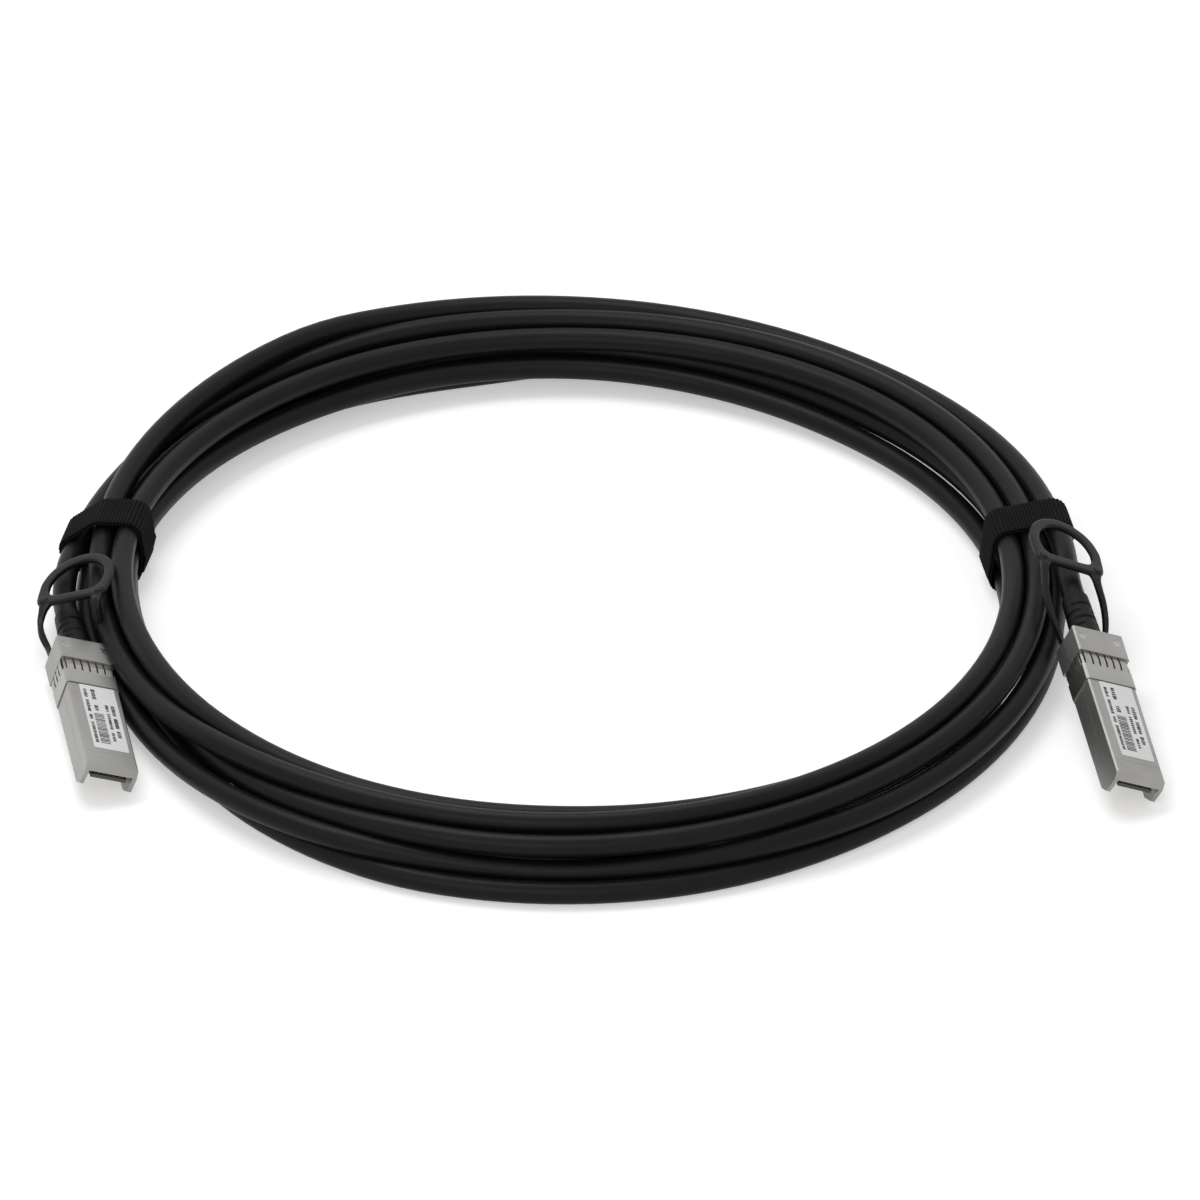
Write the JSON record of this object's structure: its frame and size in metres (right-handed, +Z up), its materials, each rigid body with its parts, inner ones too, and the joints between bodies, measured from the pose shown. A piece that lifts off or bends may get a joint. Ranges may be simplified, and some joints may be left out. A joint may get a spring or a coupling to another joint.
{
  "type": "direct attach copper cable",
  "caption": "Coiled direct attach copper cable with a latching metal plug, strain relief and pull tab on each end, held by hook-and-loop straps.",
  "frame": {"origin": "on the floor, under the middle of the box round the two plugs and two straps; the coil's middle is 7.6 mm towards -X and 24.3 mm towards +Y of it", "axes": "+Z up; +X from the left plug towards the right plug; -Y the way both plug noses point"},
  "size_m": [0.2809, 0.256, 0.0278],
  "materials": {
    "zinc_shell": "satin nickel plate",
    "spring_sheet": "bright rolled spring sheet",
    "screw_steel": "plated",
    "board_laminate": "solder mask",
    "gold_plate": "gold flash",
    "chip_resin": "moulded",
    "wire_insulation": "foamed polyolefin",
    "crimp_brass": "crimped",
    "cable_jacket": "semi-matte PVC",
    "boot_rubber": "moulded",
    "tab_plastic": "fine moulded grain",
    "strap_fabric": "ribbed loop pile",
    "label_film": "satin film"
  },
  "bodies": {
    "root": {"cable_coil": "cable_jacket", "left_base_housing": "zinc_shell", "left_top_cover": "zinc_shell", "left_cover_screws": "screw_steel", "left_emi_collar": "spring_sheet", "left_paddle_board": "board_laminate", "left_contact_pads": "gold_plate", "left_memory_chip": "chip_resin", "left_signal_wires": "wire_insulation", "left_crimp_ferrule": "crimp_brass", "left_cable_end": "cable_jacket", "left_cable_tail": "cable_jacket", "left_strain_relief": "boot_rubber", "left_return_springs": "screw_steel", "left_label": "label_film", "left_strap": "strap_fabric", "right_base_housing": "zinc_shell", "right_top_cover": "zinc_shell", "right_cover_screws": "screw_steel", "right_emi_collar": "spring_sheet", "right_paddle_board": "board_laminate", "right_contact_pads": "gold_plate", "right_memory_chip": "chip_resin", "right_signal_wires": "wire_insulation", "right_crimp_ferrule": "crimp_brass", "right_cable_end": "cable_jacket", "right_cable_tail": "cable_jacket", "right_strain_relief": "boot_rubber", "right_return_springs": "screw_steel", "right_label": "label_film", "right_strap": "strap_fabric"},
    "left_release": {"left_release_slider": "spring_sheet", "left_pull_tab": "tab_plastic"},
    "right_release": {"right_release_slider": "spring_sheet", "right_pull_tab": "tab_plastic"}
  },
  "joints": [
    {"name": "left_release_slide", "type": "slide", "parent": "root", "child": "left_release", "axis": [-0.1478, 0.989, 0.007], "range_m": [0, 0.0025], "stiffness_N_per_m": 800, "springref_m": -0.0005, "deforming": ["left_return_springs"]},
    {"name": "right_release_slide", "type": "slide", "parent": "root", "child": "right_release", "axis": [-0.1977, 0.9715, 0.1305], "range_m": [0, 0.0025], "stiffness_N_per_m": 800, "springref_m": -0.0005, "deforming": ["right_return_springs"]}
  ]
}
